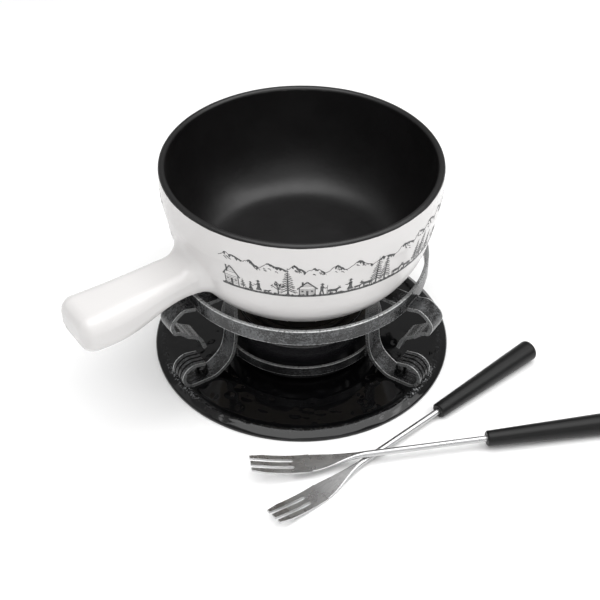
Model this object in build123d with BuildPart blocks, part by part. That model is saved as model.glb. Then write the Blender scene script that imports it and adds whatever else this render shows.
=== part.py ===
from build123d import *
from math import cos, sin, tan, radians, degrees, atan2
import os

# Fondue pot set: stand with base plate, three scrolled legs and two rings,
# ceramic pot with a side handle, paste burner with a regulator, and two forks.
# Millimetres, +Z up. The origin is the centre of the stand on the table.

os.makedirs("parts", exist_ok=True)

# Base plate
plate_radius = 124.8
plate_sheet = 1.5
floor_top = 3.5
floor_radius = 111.5
ridge_radius = 117.5
ridge_top = 7.0
ridge_round = 2.2
edge_height = 3.0
felt_radius = 86.0

# Flat bar of the legs and scrolls
bar_width = 17.0
bar_thick = 3.0
leg_angles = {"left": -147.0, "right": -33.0, "rear": 90.0}
curl_radius = 10.2
curl_centre_r = 108.2
curl_lean = 13.0
curl_tip_run = 7.8
foot_inner_r = 93.0
arm_middle_z = 84.5
upright_r = 68.0
shoulder_radius = 9.7
weld_gap = 0.15
flute_pitch = 4.2
flute_width = 1.3
flute_depth = 1.0

# Rings
ring_radius = 103.3
ring_bottom = 83.0
ring_top = 96.5
ring_thick = 3.0
burner_ring_radius = 68.4
burner_ring_bottom = 17.0
burner_ring_top = 26.0
burner_ring_thick = 2.5

# Bolts and dome nuts
bolt_circle = 98.0
bolt_radius = 2.5
bolt_clear = 0.25
bolt_head_radius = 5.0
bolt_head_thick = 1.3
nut_flats = 9.6
nut_hex_height = 3.2
nut_dome_radius = 4.75
nut_height = 11.2
bolt_reach = 6.0

# Pot
rest_gap = 0.3
pot_bottom = arm_middle_z + bar_thick / 2 + rest_gap
pot_rim = 182.8
pot_radius = 110.0
pot_wall = 5.6
pot_foot_radius = 76.0
pot_floor = 94.5
handle_angle = -145.0
handle_end = 205.0
handle_round = 11.0
handle_blend = 14.0
# Distance from the pot's axis, width, height, and height of the middle above the table
handle_sections = (
    (70.0, 36.0, 23.0, 119.0),
    (118.0, 36.0, 22.5, 119.8),
    (135.0, 38.0, 24.0, 118.2),
    (155.0, 41.5, 30.0, 114.5),
    (185.0, 45.5, 32.5, 112.6),
    (handle_end, 47.0, 31.0, 113.0),
)

# Burner
drum_radius = 60.0
drum_sheet = 1.2
drum_bottom = floor_top + rest_gap
drum_top = 44.0
drum_mouth = 50.0
pan_radius = 48.5
pan_bottom = 12.0
pan_flange = 53.0
wadding_top = 28.0
bead_radius = 46.0
bead_width = 3.6
slot_count = 6
slot_inner = 14.0
slot_outer = 38.0
slot_half_angle = 13.0
rivet_hole = 1.05
pivot_hole = 2.6
lever_angle = 25.0
lever_start = 36.3
lever_step = 41.6
lever_end = 80.0
lever_rivet_r = 39.4
lever_rivet_side = 3.2
knob_start = 62.0
knob_length = 32.0

# Forks: distances run along the shaft's axis from the tines' tips
fork_1_grip_start = 169.0
fork_2_grip_start = 185.0
tine_length = 33.0
tine_slot = 2.8
tine_slot_y = 3.4
tip_chamfer = (10.0, 1.5)
head_width = 17.6
head_length = 46.0
blade_thick = 1.8
neck_end = 88.0
shaft_radius = 2.5
# Distance, width, thickness, corner radius, and height of the middle above the axis
neck_sections = (
    (head_length - 1, head_width - 0.8, 1.5, 0.3, -2.65),
    (50.0, 16.4, 1.7, 0.5, -2.75),
    (58.0, 13.6, 2.0, 0.6, -2.55),
    (68.0, 9.5, 2.7, 1.2, -1.5),
    (78.0, 6.2, 4.0, 1.9, -0.55),
    (neck_end, 4.8, 4.8, 2.3, 0.0),
)
grip_length = 109.0
grip_front_radius = 6.15
grip_rear_radius = 8.75
grip_round = 3.0
tang_length = 42.0
fork_1_axis_z = 2.9
fork_1_slope = 0.0225
fork_1_cross = 93.3
fork_2_cross = 90.8


def radial_plane(angle):
    """Upright plane through the stand's axis: local x runs outwards, local y up."""
    a = radians(angle)
    return Plane(origin=(0, 0, 0), x_dir=(cos(a), sin(a), 0), z_dir=(sin(a), -cos(a), 0))


def polar(radius, angle, z=0):
    a = radians(angle)
    return (radius * cos(a), radius * sin(a), z)


def finish(part, name):
    part.label = name
    export_step(part, f"parts/{name}.step")


# Base plate: flat floor, raised ridge, skirt down to the table
with BuildPart() as base_plate:
    with BuildSketch(Plane.XZ) as plate_section:
        with BuildLine():
            Polyline(
                (0, floor_top),
                (floor_radius, floor_top),
                (ridge_radius, ridge_top),
                (plate_radius, edge_height),
                (plate_radius, 0),
                (plate_radius - plate_sheet, 0),
                (plate_radius - plate_sheet, edge_height - plate_sheet / 2),
                (ridge_radius, ridge_top - plate_sheet * 1.15),
                (floor_radius + plate_sheet / 2, floor_top - plate_sheet),
                (0, floor_top - plate_sheet),
                close=True,
            )
        make_face()
        corners = plate_section.vertices()
        fillet(corners.filter_by_position(Axis.X, floor_radius - 1, ridge_radius + 1), ridge_round)
        corners = plate_section.vertices()
        edge_corners = corners.filter_by_position(Axis.X, plate_radius - 0.1, plate_radius + 0.1)
        fillet(edge_corners.sort_by(Axis.Y)[-1], 1.2)
    revolve(axis=Axis.Z)
    with Locations(*[polar(bolt_circle, a, floor_top) for a in leg_angles.values()]):
        Hole(bolt_radius + bolt_clear)
finish(base_plate.part, "base_plate")

# Felt disc under the floor, which the stand rests on
with BuildPart() as base_felt:
    with BuildSketch(Plane.XY):
        Circle(felt_radius)
    extrude(amount=floor_top - plate_sheet)
finish(base_felt.part, "base_felt")

# Legs: fluted curl on the plate, foot, upright behind the burner ring, arm to the pot ring
foot_z = floor_top + bar_thick / 2
curl_centre_z = foot_z + curl_radius
for side, angle in leg_angles.items():
    lean = radians(90 + curl_lean)
    curl_start = (curl_centre_r + curl_radius * cos(lean), curl_centre_z + curl_radius * sin(lean))
    tip = (curl_start[0] - curl_tip_run * sin(lean), curl_start[1] + curl_tip_run * cos(lean))
    with BuildPart() as leg:
        with BuildSketch(radial_plane(angle)):
            with BuildLine():
                Line(tip, curl_start)
                curl_centre = (curl_centre_r, curl_centre_z)
                curl = CenterArc(curl_centre, curl_radius, 90 + curl_lean, -180 - curl_lean)
                foot = Line(curl @ 1, (foot_inner_r, foot_z))
                rise = Spline(
                    foot @ 1,
                    (84.0, 8.2),
                    (75.6, 15.2),
                    (70.6, 27.0),
                    (68.5, 45.0),
                    (upright_r, arm_middle_z - shoulder_radius),
                    tangents=[(-1, 0), (0, 1)],
                )
                shoulder = JernArc(rise @ 1, (0, 1), shoulder_radius, -90)
                Line(shoulder @ 1, (ring_radius - ring_thick - weld_gap - 0.4, arm_middle_z))
            trace(line_width=bar_thick)
        extrude(amount=bar_width / 2, both=True)
        for step in (-1, 0, 1):
            groove_radius = curl_radius + bar_thick / 2 - flute_depth / 2 + 0.2
            lift = groove_radius - curl_radius
            with BuildSketch(radial_plane(angle).offset(step * flute_pitch)):
                with BuildLine():
                    groove_start = (curl_start[0] + lift * cos(lean), curl_start[1] + lift * sin(lean))
                    groove_tip = (groove_start[0] - 10 * sin(lean), groove_start[1] + 10 * cos(lean))
                    Line(groove_tip, groove_start)
                    CenterArc(curl_centre, groove_radius, 90 + curl_lean, -150)
                trace(line_width=flute_depth + 0.4)
            extrude(amount=flute_width / 2, both=True, mode=Mode.SUBTRACT)
            with BuildSketch(radial_plane(angle).offset(step * flute_pitch)):
                with Locations(tip):
                    Rectangle(6, 2 * bar_thick)
            extrude(amount=flute_width / 2, both=True, mode=Mode.SUBTRACT)
        with Locations(Plane(origin=polar(bolt_circle, angle, foot_z))):
            Cylinder(bolt_radius + bolt_clear, bar_thick + 1, mode=Mode.SUBTRACT)
    finish(leg.part, f"leg_{side}")

# Scrolls: out from the pot ring, round and down, back in to a nose
for side, angle in leg_angles.items():
    with BuildPart() as scroll:
        with BuildSketch(radial_plane(angle)):
            with BuildLine():
                outward = Spline(
                    (ring_radius + weld_gap, arm_middle_z),
                    (113.5, 86.4),
                    (122.6, 80.4),
                    (123.4, 69.0),
                    tangents=[(1, 0.12), (-0.35, -1)],
                )
                turn = JernArc(outward @ 1, outward % 1, 3.0, -58)
                tail = ((111.5, 59.4), (103.0, 53.6), (97.4, 40.6))
                Spline(turn @ 1, *tail, tangents=[turn % 1, (-0.36, -1)])
            trace(line_width=bar_thick)
        extrude(amount=bar_width / 2, both=True)
    finish(scroll.part, f"scroll_{side}")

# Pot ring and burner ring: flat bar on edge
with BuildPart() as pot_ring:
    with BuildSketch(Plane.XZ):
        with Locations((ring_radius - ring_thick / 2, (ring_bottom + ring_top) / 2)):
            RectangleRounded(ring_thick, ring_top - ring_bottom, 0.6)
    revolve(axis=Axis.Z)
finish(pot_ring.part, "pot_ring")

with BuildPart() as burner_ring:
    with BuildSketch(Plane.XZ):
        burner_ring_middle = (burner_ring_bottom + burner_ring_top) / 2
        with Locations((burner_ring_radius - burner_ring_thick / 2, burner_ring_middle)):
            RectangleRounded(burner_ring_thick, burner_ring_top - burner_ring_bottom, 0.5)
    revolve(axis=Axis.Z)
finish(burner_ring.part, "burner_ring")

# Bolts: flat head under the plate, shank up into the dome nut
foot_top = floor_top + bar_thick
standing = (Align.CENTER, Align.CENTER, Align.MIN)
with BuildPart() as base_bolts:
    head_bottom = floor_top - plate_sheet - bolt_head_thick
    with Locations(*[polar(bolt_circle, a, head_bottom) for a in leg_angles.values()]):
        Cylinder(bolt_head_radius, bolt_head_thick, align=standing)
        Cylinder(bolt_radius, foot_top + bolt_reach - head_bottom, align=standing)
finish(base_bolts.part, "base_bolts")

with BuildPart() as dome_nuts:
    with BuildSketch(Plane.XY.offset(foot_top)):
        with Locations(*[polar(bolt_circle, a) for a in leg_angles.values()]):
            RegularPolygon(nut_flats / 2, 6, major_radius=False)
    extrude(amount=nut_hex_height)
    dome_low = foot_top + 2
    dome_centre = foot_top + nut_height - nut_dome_radius
    for angle in leg_angles.values():
        with BuildSketch(radial_plane(angle)):
            with BuildLine():
                Line((bolt_circle, dome_low), (bolt_circle + nut_dome_radius, dome_low))
                Line((bolt_circle + nut_dome_radius, dome_low), (bolt_circle + nut_dome_radius, dome_centre))
                CenterArc((bolt_circle, dome_centre), nut_dome_radius, 0, 90)
                Line((bolt_circle, foot_top + nut_height), (bolt_circle, dome_low))
            make_face()
        revolve(axis=Axis(polar(bolt_circle, angle), (0, 0, 1)))
    with Locations(*[polar(bolt_circle, a, foot_top - 1) for a in leg_angles.values()]):
        Cylinder(bolt_radius + 0.05, bolt_reach + 1.5, align=standing, mode=Mode.SUBTRACT)
finish(dome_nuts.part, "dome_nuts")

# Pot: thick turned wall with a flared side handle grown out of it
handle_plane = radial_plane(handle_angle)
handle_axis = handle_plane.x_dir


def handle_station(run, middle):
    """Plane square to the handle at a distance from the pot's axis: local x level, local y up."""
    origin = Vector(*polar(run, handle_angle, middle))
    return Plane(origin=origin, x_dir=handle_plane.z_dir, z_dir=handle_axis)


with BuildPart() as pot:
    with BuildSketch(Plane.XZ):
        with BuildLine():
            Line((0, pot_bottom), (pot_foot_radius, pot_bottom))
            side_line = Spline(
                (pot_foot_radius, pot_bottom),
                (90.5, 97.0),
                (102.2, 121.0),
                (108.3, 152.0),
                (pot_radius, pot_rim - pot_wall / 2),
                tangents=[(1, 0.25), (0, 1)],
            )
            lip = ThreePointArc(
                side_line @ 1,
                (pot_radius - pot_wall / 2, pot_rim),
                (pot_radius - pot_wall, pot_rim - pot_wall / 2),
            )
            Line(lip @ 1, (0, pot_rim - pot_wall / 2))
            Line((0, pot_rim - pot_wall / 2), (0, pot_bottom))
        make_face()
    revolve(axis=Axis.Z)
    for run, width, height, middle in handle_sections:
        with BuildSketch(handle_station(run, middle)):
            RectangleRounded(width, height, height * 0.36)
    loft()
    end_edges = pot.faces().sort_by(Axis((0, 0, 0), tuple(handle_axis)))[-1].edges()
    fillet(end_edges, handle_round)
    root = Vector(*polar(pot_radius - pot_wall, handle_angle, handle_sections[0][3]))
    near_root = pot.edges().filter_by(lambda e: 6 < (e.center() - root).length < 33)
    fillet(near_root.filter_by(GeomType.CIRCLE, reverse=True), handle_blend)
    with BuildSketch(Plane.XZ):
        with BuildLine():
            inner_line = Spline(
                (pot_radius - pot_wall, pot_rim + 1),
                (103.0, 155.0),
                (96.6, 122.0),
                (85.5, 102.5),
                (66.0, pot_floor),
                tangents=[(0, -1), (-1, 0)],
            )
            Line(inner_line @ 1, (0, pot_floor))
            Line((0, pot_floor), (0, pot_rim + 1))
            Line((0, pot_rim + 1), inner_line @ 0)
        make_face()
    revolve(axis=Axis.Z, mode=Mode.SUBTRACT)
finish(pot.part, "pot")

# Burner drum: sheet-steel body with a turned-in shoulder
with BuildPart() as burner_drum:
    with BuildSketch(Plane.XZ):
        with BuildLine():
            FilletPolyline(
                (0, drum_bottom + drum_sheet / 2),
                (drum_radius - drum_sheet / 2, drum_bottom + drum_sheet / 2),
                (drum_radius - drum_sheet / 2, drum_top - drum_sheet / 2),
                (drum_mouth, drum_top - drum_sheet / 2),
                radius=3.5,
            )
        trace(line_width=drum_sheet)
    revolve(axis=Axis.Z)
finish(burner_drum.part, "burner_drum")

# Fuel pan: hangs in the drum by its flange
with BuildPart() as fuel_pan:
    with BuildSketch(Plane.XZ):
        with BuildLine():
            FilletPolyline(
                (0, pan_bottom + 0.5),
                (pan_radius - 0.5, pan_bottom + 0.5),
                (pan_radius - 0.5, drum_top + 0.55),
                (pan_flange, drum_top + 0.55),
                radius=1.2,
            )
        trace(line_width=1.0)
    revolve(axis=Axis.Z)
finish(fuel_pan.part, "fuel_pan")

with BuildPart() as fuel_wadding:
    with BuildSketch(Plane.XY.offset(pan_bottom + 1.1)):
        Circle(pan_radius - 1.3)
    extrude(amount=wadding_top - pan_bottom - 1.1)
    fillet(fuel_wadding.edges().group_by(Axis.Z)[-1], 3.0)
    fillet(fuel_wadding.edges().group_by(Axis.Z)[0], 1.5)
finish(fuel_wadding.part, "fuel_wadding")

with BuildPart() as wadding_gauze:
    with BuildSketch(Plane.XY.offset(wadding_top + 0.1)):
        Circle(pan_radius - 1.5)
    extrude(amount=0.8)
finish(wadding_gauze.part, "wadding_gauze")


# Flame slots: the same ring of openings in the burner top and in the regulator
with BuildSketch() as flame_slots:
    for slot in range(slot_count):
        slot_start = slot * 360 / slot_count - slot_half_angle
        with BuildLine():
            low = CenterArc((0, 0), slot_inner, slot_start, 2 * slot_half_angle)
            high = CenterArc((0, 0), slot_outer, slot_start, 2 * slot_half_angle)
            Line(low @ 0, high @ 0)
            Line(low @ 1, high @ 1)
        make_face()

# Burner top: fixed plate with flame slots and a raised bead round them
top_bottom = drum_top + 1.1
top_sheet = 1.2
with BuildPart() as burner_top:
    with BuildSketch(Plane.XY.offset(top_bottom)):
        Circle(pan_flange)
        Circle(pivot_hole, mode=Mode.SUBTRACT)
        add(flame_slots.sketch, mode=Mode.SUBTRACT)
    extrude(amount=top_sheet)
    with BuildSketch(Plane.XZ):
        with Locations((bead_radius, top_bottom + top_sheet + 0.9)):
            RectangleRounded(bead_width, 2.0, 0.9)
        with Locations((bead_radius, top_bottom + top_sheet)):
            Rectangle(bead_width, 1.0)
    revolve(axis=Axis.Z)
finish(burner_top.part, "burner_top")

# Regulator: slotted plate that turns inside the bead
regulator_bottom = top_bottom + top_sheet + 0.3
regulator_sheet = 1.2
regulator_radius = bead_radius - bead_width / 2 - 0.6
with BuildPart() as regulator_plate:
    with BuildSketch(Plane.XY.offset(regulator_bottom)):
        Circle(regulator_radius)
        Circle(pivot_hole, mode=Mode.SUBTRACT)
        add(flame_slots.sketch, mode=Mode.SUBTRACT)
        with PolarLocations(lever_rivet_r, 1, start_angle=lever_angle):
            with Locations((0, lever_rivet_side), (0, -lever_rivet_side)):
                Circle(rivet_hole, mode=Mode.SUBTRACT)
    extrude(amount=regulator_sheet)
finish(regulator_plate.part, "regulator_plate")

# Pivot rivet of the regulator, held in the burner top
with BuildPart() as pivot_rivet:
    with BuildSketch(Plane.XY.offset(top_bottom - 1.4)):
        Circle(5.0)
    extrude(amount=1.3)
    with BuildSketch(Plane.XY.offset(top_bottom - 0.2)):
        Circle(2.5)
    extrude(amount=regulator_bottom + regulator_sheet - top_bottom + 0.5)
    with BuildSketch(Plane.XY.offset(regulator_bottom + regulator_sheet + 0.3)):
        Circle(5.0)
    extrude(amount=1.6)
    fillet(pivot_rivet.edges().group_by(Axis.Z)[-1], 1.2)
finish(pivot_rivet.part, "pivot_rivet")

# Lever: strip joggled up over the bead, with a knob on its end
lever_plane = radial_plane(lever_angle)
lever_low = regulator_bottom + regulator_sheet + 0.65
lever_high = top_bottom + top_sheet + 3.2
with BuildPart() as regulator_lever:
    with BuildSketch(lever_plane):
        with BuildLine():
            FilletPolyline(
                (lever_start, lever_low),
                (lever_step, lever_low),
                (lever_step + 1, lever_high),
                (lever_end, lever_high),
                radius=0.8,
            )
        trace(line_width=1.2)
    extrude(amount=5.0, both=True)
    with PolarLocations(lever_rivet_r, 1, start_angle=lever_angle):
        with Locations((0, lever_rivet_side, lever_low), (0, -lever_rivet_side, lever_low)):
            Cylinder(rivet_hole, 3.0, mode=Mode.SUBTRACT)
finish(regulator_lever.part, "regulator_lever")

with BuildPart() as lever_rivets:
    rivet_head_z = lever_low + 0.65
    with PolarLocations(lever_rivet_r, 1, start_angle=lever_angle):
        with Locations((0, lever_rivet_side, regulator_bottom), (0, -lever_rivet_side, regulator_bottom)):
            Cylinder(rivet_hole - 0.05, 2.5, align=standing)
        with Locations((0, lever_rivet_side, rivet_head_z), (0, -lever_rivet_side, rivet_head_z)):
            Cylinder(1.8, 0.9, align=standing)
finish(lever_rivets.part, "lever_rivets")

with BuildPart() as lever_knob:
    knob_origin = polar(knob_start, lever_angle, lever_high)
    knob_plane = Plane(origin=knob_origin, x_dir=lever_plane.z_dir, z_dir=lever_plane.x_dir)
    with BuildSketch(knob_plane):
        RectangleRounded(15.0, 8.0, 3.5)
    with BuildSketch(knob_plane.offset(knob_length)):
        RectangleRounded(18.0, 9.0, 4.0)
    loft()
    knob_end = lever_knob.faces().sort_by(Axis((0, 0, 0), tuple(lever_plane.x_dir)))[-1]
    fillet(knob_end.edges(), 3.0)
    with BuildSketch(knob_plane):
        Rectangle(10.2, 1.4)
    extrude(amount=lever_end - knob_start + 0.2, mode=Mode.SUBTRACT)
finish(lever_knob.part, "lever_knob")


def make_fork(name, tip, angle, axis_height, slope, grip_start):
    """Fork with its shaft's axis at axis_height above the tines' tips, rising by slope towards the handle."""
    a, s = radians(angle), radians(slope)
    along = Vector(cos(a) * cos(s), sin(a) * cos(s), sin(s))
    across = Vector(-sin(a), cos(a), 0)
    origin = Vector(tip[0], tip[1], axis_height)
    flat = Plane(origin=origin, x_dir=along, z_dir=along.cross(across))
    upright = Plane(origin=origin, x_dir=along, z_dir=across * -1)
    half = head_width / 2
    with BuildPart() as shaft:
        with BuildSketch(flat.offset(-10)):
            with BuildLine():
                Polyline(
                    (0, half - tip_chamfer[1]),
                    (tip_chamfer[0], half),
                    (head_length, half),
                    (head_length, -half),
                    (tip_chamfer[0], -half),
                    (0, tip_chamfer[1] - half),
                    close=True,
                )
            make_face()
            with Locations((0, tine_slot_y), (0, -tine_slot_y)):
                SlotOverall(2 * tine_length, tine_slot, mode=Mode.SUBTRACT)
        extrude(amount=20)
        with BuildSketch(upright):
            with BuildLine():
                Spline((0, 6.2), (tine_length, -1.7), (head_length, -2.7), tangents=[(1, -0.3), (1, -0.03)])
            trace(line_width=blade_thick)
        extrude(amount=15, both=True, mode=Mode.INTERSECT)
        for distance, width, thickness, corner, middle in neck_sections:
            section_origin = origin + along * distance + flat.z_dir * middle
            with BuildSketch(Plane(origin=section_origin, x_dir=across, z_dir=along)):
                RectangleRounded(width, thickness, corner)
        loft()
        with BuildSketch(Plane(origin=origin + along * (neck_end - 1), x_dir=across, z_dir=along)):
            Circle(shaft_radius)
        extrude(amount=grip_start + tang_length - neck_end + 1)
    finish(shaft.part, f"{name}_shaft")
    with BuildPart() as grip:
        grip_end = grip_start + grip_length
        with BuildSketch(upright):
            with BuildLine():
                Polyline(
                    (grip_start, 0),
                    (grip_start, grip_front_radius - 1),
                    (grip_start + 1, grip_front_radius),
                    (grip_end, grip_rear_radius),
                    (grip_end, 0),
                    close=True,
                )
            make_face()
            fillet(vertices().sort_by(Axis.X)[-2:].sort_by(Axis.Y)[-1], grip_round)
        revolve(axis=Axis(origin, along))
        with BuildSketch(Plane(origin=origin + along * grip_start, x_dir=across, z_dir=along)):
            Circle(shaft_radius + 0.05)
        extrude(amount=tang_length + 0.5, mode=Mode.SUBTRACT)
    finish(grip.part, f"{name}_handle")


# Fork 1 lies on the table; fork 2 lies across it
slope_1 = degrees(atan2(fork_1_slope, 1))
make_fork("fork_1", (-20.5, -206.6), 40.1, fork_1_axis_z, slope_1, fork_1_grip_start)
cross_height = fork_1_axis_z + fork_1_slope * fork_1_cross + 2 * shaft_radius + rest_gap
rear_drop = grip_rear_radius + rest_gap - cross_height
slope_2 = degrees(atan2(rear_drop, fork_2_grip_start + grip_length - fork_2_cross))
fork_2_axis_z = cross_height - fork_2_cross * tan(radians(slope_2))
make_fork("fork_2", (-38.6, -162.3), 10.0, fork_2_axis_z, slope_2, fork_2_grip_start)
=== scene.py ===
import bpy
import bmesh
import math
import random
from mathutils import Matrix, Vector, noise


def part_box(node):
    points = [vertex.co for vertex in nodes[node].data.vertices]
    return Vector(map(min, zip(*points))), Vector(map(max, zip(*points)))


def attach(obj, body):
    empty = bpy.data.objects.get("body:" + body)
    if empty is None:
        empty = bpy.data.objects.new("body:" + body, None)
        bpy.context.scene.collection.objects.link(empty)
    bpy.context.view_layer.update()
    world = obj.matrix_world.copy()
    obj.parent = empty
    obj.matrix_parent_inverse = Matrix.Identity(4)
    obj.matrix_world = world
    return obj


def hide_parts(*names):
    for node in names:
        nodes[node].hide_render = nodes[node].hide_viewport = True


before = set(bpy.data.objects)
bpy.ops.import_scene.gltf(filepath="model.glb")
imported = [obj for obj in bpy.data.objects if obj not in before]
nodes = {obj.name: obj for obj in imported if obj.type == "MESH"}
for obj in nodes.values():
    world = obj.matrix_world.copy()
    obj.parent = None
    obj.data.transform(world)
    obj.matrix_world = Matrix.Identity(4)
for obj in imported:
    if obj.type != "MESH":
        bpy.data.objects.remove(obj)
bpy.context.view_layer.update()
scene = bpy.context.scene
print("frame loaded:", len(nodes), "nodes")

mm = 0.001
legAngles = {"left": -147.0, "right": -33.0, "rear": 90.0}   # where the three legs stand


# camera, floor and studio light
studio = {
    "cameraPlace": (-0.00125, -0.768, 0.697),
    "cameraTilt": 40.55,            # degrees below level
    "lens": 72.0,
    "film": 36.0,
    "floorSize": 7.0,
    "worldTop": 0.55,
    "worldSide": 0.3,
    "overhead": 33.0,               # watts
    "leftBox": 0.8,
    "rightBox": 3.5,
    "frontBox": 6.0,
}


def makeCamera():
    data = bpy.data.cameras.new("tableCamera")
    data.lens = studio["lens"]
    data.sensor_width = studio["film"]
    data.clip_start = 0.05
    data.clip_end = 20
    camera = bpy.data.objects.new("tableCamera", data)
    camera.location = studio["cameraPlace"]
    camera.rotation_euler = (math.radians(90 - studio["cameraTilt"]), 0, 0)
    scene.collection.objects.link(camera)
    scene.camera = camera


def softBox(name, place, aim, size, watts):
    data = bpy.data.lights.new(name, "AREA")
    data.shape = "RECTANGLE"
    data.size, data.size_y = size
    data.energy = watts
    lamp = bpy.data.objects.new(name, data)
    lamp.location = place
    lamp.rotation_euler = (Vector(aim) - Vector(place)).to_track_quat("-Z", "Y").to_euler()
    scene.collection.objects.link(lamp)


def makeWorld():
    world = bpy.data.worlds.new("studioWorld")
    scene.world = world
    world.use_nodes = True
    tree = world.node_tree
    tree.nodes.clear()
    out = tree.nodes.new("ShaderNodeOutputWorld")
    back = tree.nodes.new("ShaderNodeBackground")
    coords = tree.nodes.new("ShaderNodeTexCoord")
    split = tree.nodes.new("ShaderNodeSeparateXYZ")
    height = tree.nodes.new("ShaderNodeMapRange")
    height.inputs["From Min"].default_value = 0.0
    height.inputs["From Max"].default_value = 0.8
    height.inputs["To Min"].default_value = studio["worldSide"]
    height.inputs["To Max"].default_value = studio["worldTop"]
    tree.links.new(coords.outputs["Generated"], split.inputs[0])
    tree.links.new(split.outputs["Z"], height.inputs["Value"])
    tree.links.new(height.outputs["Result"], back.inputs["Strength"])
    tree.links.new(back.outputs[0], out.inputs["Surface"])


def makeStudio():
    makeCamera()
    makeWorld()
    scene.view_settings.view_transform = "Standard"
    softBox("overheadBox", (0.15, -0.25, 1.6), (0, 0, 0), (2.4, 1.6), studio["overhead"])
    softBox("leftBox", (-1.4, -0.1, 0.8), (0, 0, 0.08), (0.9, 0.7), studio["leftBox"])
    softBox("rightBox", (1.25, -0.2, 0.9), (0, 0, 0.08), (0.7, 0.7), studio["rightBox"])
    softBox("frontBox", (0.4, -2.0, 0.9), (0, 0, 0.08), (2.0, 0.9), studio["frontBox"])
    mesh = bpy.data.meshes.new("studioFloor")
    half = studio["floorSize"] / 2
    mesh.from_pydata([(-half, -half, 0), (half, -half, 0), (half, half, 0), (-half, half, 0)], [],
                     [(0, 1, 2, 3)])
    floor = bpy.data.objects.new("studioFloor", mesh)
    scene.collection.objects.link(floor)
    material, tree, shader = startMaterial("paleFloor")
    wash = noiseNode(tree, 3.0, 2)
    tint(tree, shader, wash, (0.3, (0.96, 0.96, 0.96)), (0.7, (0.98, 0.98, 0.98)))
    shader.inputs["Roughness"].default_value = 0.9
    shader.inputs["Specular IOR Level"].default_value = 0.0
    mesh.materials.append(material)
    print("studio ready")


# small helpers for shader trees
def startMaterial(name):
    material = bpy.data.materials.new(name)
    material.use_nodes = True
    tree = material.node_tree
    tree.nodes.clear()
    out = tree.nodes.new("ShaderNodeOutputMaterial")
    shader = tree.nodes.new("ShaderNodeBsdfPrincipled")
    tree.links.new(shader.outputs["BSDF"], out.inputs["Surface"])
    return material, tree, shader


def link(tree, source, target):
    tree.links.new(source, target)


def feed(tree, socket, value):
    if hasattr(value, "is_output"):
        tree.links.new(value, socket)
    else:
        socket.default_value = value


def mathNode(tree, operation, *values, clamp=False):
    node = tree.nodes.new("ShaderNodeMath")
    node.operation = operation
    node.use_clamp = clamp
    for socket, value in zip(node.inputs, values):
        feed(tree, socket, value)
    return node.outputs[0]


def times(tree, first, second):
    return mathNode(tree, "MULTIPLY", first, second)


def plus(tree, first, second):
    return mathNode(tree, "ADD", first, second)


def minus(tree, first, second):
    return mathNode(tree, "SUBTRACT", first, second)


def larger(tree, first, second):
    return mathNode(tree, "MAXIMUM", first, second)


def distance(tree, value):
    return mathNode(tree, "ABSOLUTE", value)


def roundRadius(tree, x, y):
    return mathNode(tree, "SQRT", plus(tree, times(tree, x, x), times(tree, y, y)))


def rangeNode(tree, value, low, high, start=0.0, end=1.0):
    node = tree.nodes.new("ShaderNodeMapRange")
    node.interpolation_type = "SMOOTHSTEP"
    feed(tree, node.inputs["Value"], value)
    node.inputs["From Min"].default_value = low
    node.inputs["From Max"].default_value = high
    node.inputs["To Min"].default_value = start
    node.inputs["To Max"].default_value = end
    return node.outputs["Result"]


def objectCoords(tree, turn=0.0, stretch=(1, 1, 1)):
    coords = tree.nodes.new("ShaderNodeTexCoord")
    mapping = tree.nodes.new("ShaderNodeMapping")
    mapping.vector_type = "TEXTURE"            # turned first, then stretched along the turned axes
    mapping.inputs["Rotation"].default_value = (0, 0, math.radians(turn))
    mapping.inputs["Scale"].default_value = [1 / s for s in stretch]
    tree.links.new(coords.outputs["Object"], mapping.inputs["Vector"])
    return mapping.outputs[0]


def objectNormal(tree):
    coords = tree.nodes.new("ShaderNodeTexCoord")
    split = tree.nodes.new("ShaderNodeSeparateXYZ")
    tree.links.new(coords.outputs["Normal"], split.inputs[0])
    return split.outputs


def splitCoords(tree, turn=0.0):
    split = tree.nodes.new("ShaderNodeSeparateXYZ")
    tree.links.new(objectCoords(tree, turn), split.inputs[0])
    return split.outputs


def noiseNode(tree, scale, detail=3, roughness=0.5, vector=None, distortion=0.0):
    node = tree.nodes.new("ShaderNodeTexNoise")
    node.inputs["Scale"].default_value = scale
    node.inputs["Detail"].default_value = detail
    node.inputs["Roughness"].default_value = roughness
    node.inputs["Distortion"].default_value = distortion
    tree.links.new(vector if vector else objectCoords(tree), node.inputs["Vector"])
    return node.outputs["Fac"]


def rampNode(tree, value, stops):
    node = tree.nodes.new("ShaderNodeValToRGB")
    ramp = node.color_ramp
    while len(ramp.elements) < len(stops):
        ramp.elements.new(0.5)
    for element, (place, colour) in zip(ramp.elements, stops):
        element.position = place
        element.color = (*colour, 1.0)
    feed(tree, node.inputs["Fac"], value)
    return node.outputs["Color"]


def mixNode(tree, factor, first, second, mode="MIX"):
    node = tree.nodes.new("ShaderNodeMix")
    node.data_type = "RGBA"
    node.blend_type = mode
    feed(tree, node.inputs["Factor"], factor)
    for socket, value in ((node.inputs[6], first), (node.inputs[7], second)):
        feed(tree, socket, (*value, 1.0) if isinstance(value, tuple) else value)
    return node.outputs[2]


def mixValue(tree, factor, first, second):
    node = tree.nodes.new("ShaderNodeMix")
    feed(tree, node.inputs["Factor"], factor)
    feed(tree, node.inputs[2], first)
    feed(tree, node.inputs[3], second)
    return node.outputs[0]


def tint(tree, shader, value, *stops):
    link(tree, rampNode(tree, value, stops), shader.inputs["Base Color"])


def roughen(tree, shader, value, start, end, low=0.3, high=0.7):
    link(tree, rangeNode(tree, value, low, high, start, end), shader.inputs["Roughness"])


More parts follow.
